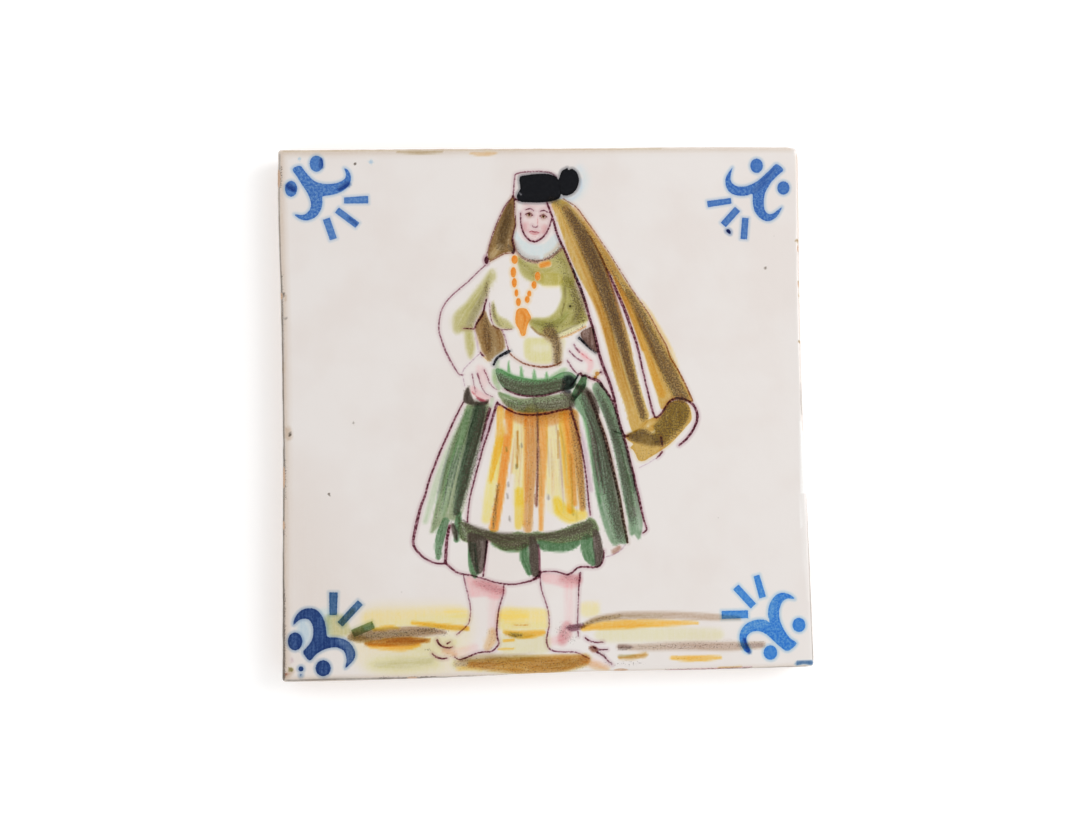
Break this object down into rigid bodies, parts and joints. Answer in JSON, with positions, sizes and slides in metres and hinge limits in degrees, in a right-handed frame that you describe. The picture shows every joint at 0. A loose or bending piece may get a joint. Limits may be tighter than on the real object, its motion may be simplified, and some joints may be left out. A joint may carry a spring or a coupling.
{
  "type": "hand-painted tile",
  "caption": "Square glazed ceramic wall tile with undercut sides, a rolled glaze rim, and a hand-painted costume figure with corner ornaments on its face.",
  "frame": {"origin": "middle of the tile's box, on the floor plane that the back lies on", "axes": "+Z out of the painted face, +Y towards the top of the picture, +X towards its right side"},
  "size_m": [0.14, 0.1404, 0.01],
  "materials": {
    "painted_glaze": "glossy warm-white glaze, hand-painted in blue, green, yellow, ochre and purple-brown, over pale clay"
  },
  "bodies": {
    "root": {"tile": "painted_glaze"}
  },
  "joints": []
}
